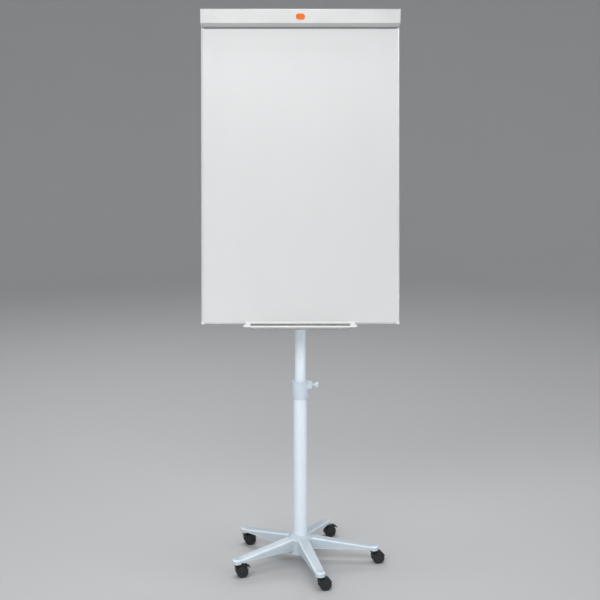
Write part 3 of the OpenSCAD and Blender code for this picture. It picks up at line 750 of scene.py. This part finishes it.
def wheel(n, side):
    """A turned wheel: rounded tread, raised rim, dished face and a shallow hub cap."""
    node = "caster_%d_wheel_%s" % (n, side)
    joint = JOINTS["caster_%d_roll_%s" % (n, side)]
    pos, axis = Vector(joint["pos_m"]), Vector(joint["axis"]).normalized()
    outward = -axis if side == "near" else axis
    along = [(v.co - pos).dot(outward) for v in frame["nodes"][node].data.vertices]
    inner, outer = min(along), max(along)
    radius = pos.z
    edge, bore = 2 * MM, 2.56 * MM
    profile = [(bore, inner), (radius - edge - MM, inner)]
    profile += arc((radius - edge, inner + edge), edge, -90, 0, 5)
    profile += arc((radius - edge, outer - edge), edge, 0, 80, 5)
    dish, blind = outer - 1.1 * MM, outer - 2.6 * MM
    # The rim's bead and the step down to the dish, the shallow hub cap, and the end of the blind bore
    profile += [(radius - 3.2 * MM, outer), (radius - 3.6 * MM, outer - 0.15 * MM),
                (radius - 3.9 * MM, outer - 0.9 * MM), (radius - 4.4 * MM, dish)]
    profile += [(8.2 * MM, dish), (7.6 * MM, outer - 1.0 * MM), (7.2 * MM, outer - 0.45 * MM),
                (6.6 * MM, outer - 0.2 * MM), (3 * MM, outer - 0.02 * MM), (0, outer)]
    profile += [(0, blind), (bore, blind)]
    turn = outward.to_track_quat("Z", "Y").to_matrix().to_4x4()
    mesh = lathe(node + "_turned", profile, Matrix.Translation(pos) @ turn, 80)
    flat_faces(piece(node + "_turned", mesh, NODE_BODY[node], "wheel_plastic", node))


# ---------------------------------------------------------------- springs

def springs():
    """Round-wire springs coiled round the clamp's two pins."""
    wire_r, coil_r, pitch = 0.5 * MM, 3.6 * MM, 1.15 * MM
    turns, steps, sides = 5, 28, 10
    pivot = BOARD_INVERSE @ Vector(JOINTS["clamp_open"]["pos_m"])
    start = board_box("clamp_springs")[1].x - 0.6 * MM
    path = []
    for i in range(turns * steps + 1):
        a = 2 * math.pi * i / steps
        path.append(Vector((start - pitch * i / steps, pivot.y + coil_r * math.cos(a),
                            pivot.z + coil_r * math.sin(a))))
    loops = []
    for i, here in enumerate(path):
        ahead = (path[min(i + 1, len(path) - 1)] - path[max(i - 1, 0)]).normalized()
        out = (here - Vector((here.x, pivot.y, pivot.z))).normalized()
        third = ahead.cross(out)
        loops.append([here + (out * math.cos(t) + third * math.sin(t)) * wire_r
                      for t in [2 * math.pi * k / sides for k in range(sides)]])
    parts = [loft("coil", loops, BOARD @ Matrix.Diagonal((side, 1, 1, 1))) for side in (-1, 1)]
    piece("clamp_spring_wire", joined("clamp_spring_wire", parts), "board", "zinc_steel", "clamp_springs")


# ---------------------------------------------------------------- CAD nodes carried over or refined

# Nodes whose own CAD mesh stays: flat sheets, and pieces inside others
KEPT = ("writing_surface", "panel_core", "back_sheet", "guide_bush", "tube_foot")
# Extrusions that run along X; they get a darker copy of the anodised aluminium, as painted shade
ACROSS = ("top_rail", "bottom_rail", "hook_rail")
# Width of a node's rounded edges in millimetres, where it isn't 0.3
EDGES = {"mast_ring": 0.5, "head_bracket": 1.0, "stay_bracket": 1.0,
         "spine_channel": 0.6, "corner_caps": 1.0, "badge": 0.45, "pad_hook_left": 0.7,
         "pad_hook_right": 0.7, "caster_2_brake": 0.7, "caster_4_brake": 0.7, "tube_cap": 0.8,
         "lower_tube": 0.6, "upper_tube": 0.4, "tube_bolts": 0.5, "bracket_bolts": 0.5,
         "base_bolt": 0.6, "hinge_brackets": 0.4}
EDGES.update({"caster_%d_housing" % n: 0.6 for n in range(1, 6)})


def carry_over(done):
    """Every CAD node that no piece stands for gets its material, and rounded edges if it shows."""
    for node, made in frame["nodes"].items():
        if node in done:
            continue
        if node in KEPT:
            made.data.materials.clear()
            made.data.materials.append(MATERIALS[SLOTS[node]])
            continue
        material = "anodised_across_painted_shade" if node in ACROSS else SLOTS[node]
        refined(node, EDGES.get(node, 0.3) * MM, material)


star()
collar()
knob()
clamp_bar()
end_caps()
pen_tray()
springs()
DONE = {"star_base", "collar", "clamp_knob", "clamp_bar", "clamp_end_caps", "pen_tray", "clamp_springs"}
for number in range(1, 6):
    for place in ("near", "far"):
        wheel(number, place)
        DONE.add("caster_%d_wheel_%s" % (number, place))
carry_over(DONE)


# ---------------------------------------------------------------- stage, light and camera

def studio_floor():
    """A pale round cove: a flat floor that sweeps up into a low wall on every side."""
    radius, sweep, wall = 5.6, 3.4, 6.5
    profile = [(0, 0), (radius * 0.5, 0), (radius, 0)]
    profile += arc((radius, sweep), sweep, -90, 0, 16)[1:] + [(radius + sweep, wall)]
    faces = []
    segments, count = 96, len(profile)
    for i in range(segments):
        j = (i + 1) % segments
        faces += [(i * count + k, j * count + k, j * count + k + 1, i * count + k + 1)
                  for k in range(count - 1)]
    mesh = mesh_from("studio_floor", turned(profile, segments), faces)
    mesh.flip_normals()
    made = bpy.data.objects.new("studio_floor", mesh)
    bpy.context.scene.collection.objects.link(made)
    for polygon in mesh.polygons:
        polygon.use_smooth = True
    tone = (0.5, 0.504, 0.508)
    m = Nodes("pale_floor", tone, 0.7)
    m.colour(m.blend(m.ramp(m.noise(1.2, 4.0), 0.3, 0.7), tone, shade(tone, 0.985)))
    mesh.materials.append(m.material)


def area_light(name, place, target, size, power, spread=180):
    """A rectangular lamp, unseen by the camera, that shines from a place at a target."""
    data = bpy.data.lights.new(name, "AREA")
    data.shape = "RECTANGLE"
    data.size, data.size_y = size
    data.energy = power
    data.spread = math.radians(spread)
    lamp = bpy.data.objects.new(name, data)
    bpy.context.scene.collection.objects.link(lamp)
    lamp.location = place
    lamp.visible_camera = False
    lamp.rotation_euler = (Vector(target) - Vector(place)).to_track_quat("-Z", "Y").to_euler()


def lights():
    """A broad soft key above and in front, weak fills low down, a top and a back lamp, pale sky light."""
    world = bpy.data.worlds.new("studio")
    bpy.context.scene.world = world
    world.use_nodes = True
    background = world.node_tree.nodes["Background"]
    background.inputs["Color"].default_value = (0.96, 0.98, 1.0, 1.0)
    background.inputs["Strength"].default_value = 0.52
    area_light("key", (-0.8, -3.5, 3.4), (0, 0, 1.5), (4.2, 1.2), 102)
    area_light("fill_left", (-1.4, -3.2, 0.95), (0, 0, 0.85), (0.8, 0.9), 2.9, 60)
    area_light("fill_right", (2.4, -2.2, 0.8), (0, 0, 0.6), (0.8, 0.8), 2.2, 60)
    area_light("rim_right", (2.5, 1.5, 0.8), (0, 0, 0.35), (0.8, 0.8), 0.9, 60)
    area_light("top", (0, 0.3, 4.6), (0, 0, 0.8), (2.0, 1.5), 60)
    area_light("back", (-1.0, 3.4, 3.2), (0, 0, 1.0), (2.4, 1.6), 30)


def camera():
    """The camera stands in front of the easel, a little above eye level, and looks slightly down."""
    distance, height, aside = 4.772, 1.9475, -0.0013
    pitch = math.radians(11.39)
    data = bpy.data.cameras.new("camera")
    data.sensor_width = 36.0
    data.lens = 82.0
    made = bpy.data.objects.new("camera", data)
    bpy.context.scene.collection.objects.link(made)
    made.location = (aside, -distance, height)
    made.rotation_euler = (math.pi / 2 - pitch, 0, 0)
    bpy.context.scene.camera = made


studio_floor()
lights()
camera()
bpy.context.scene.view_settings.view_transform = "Standard"
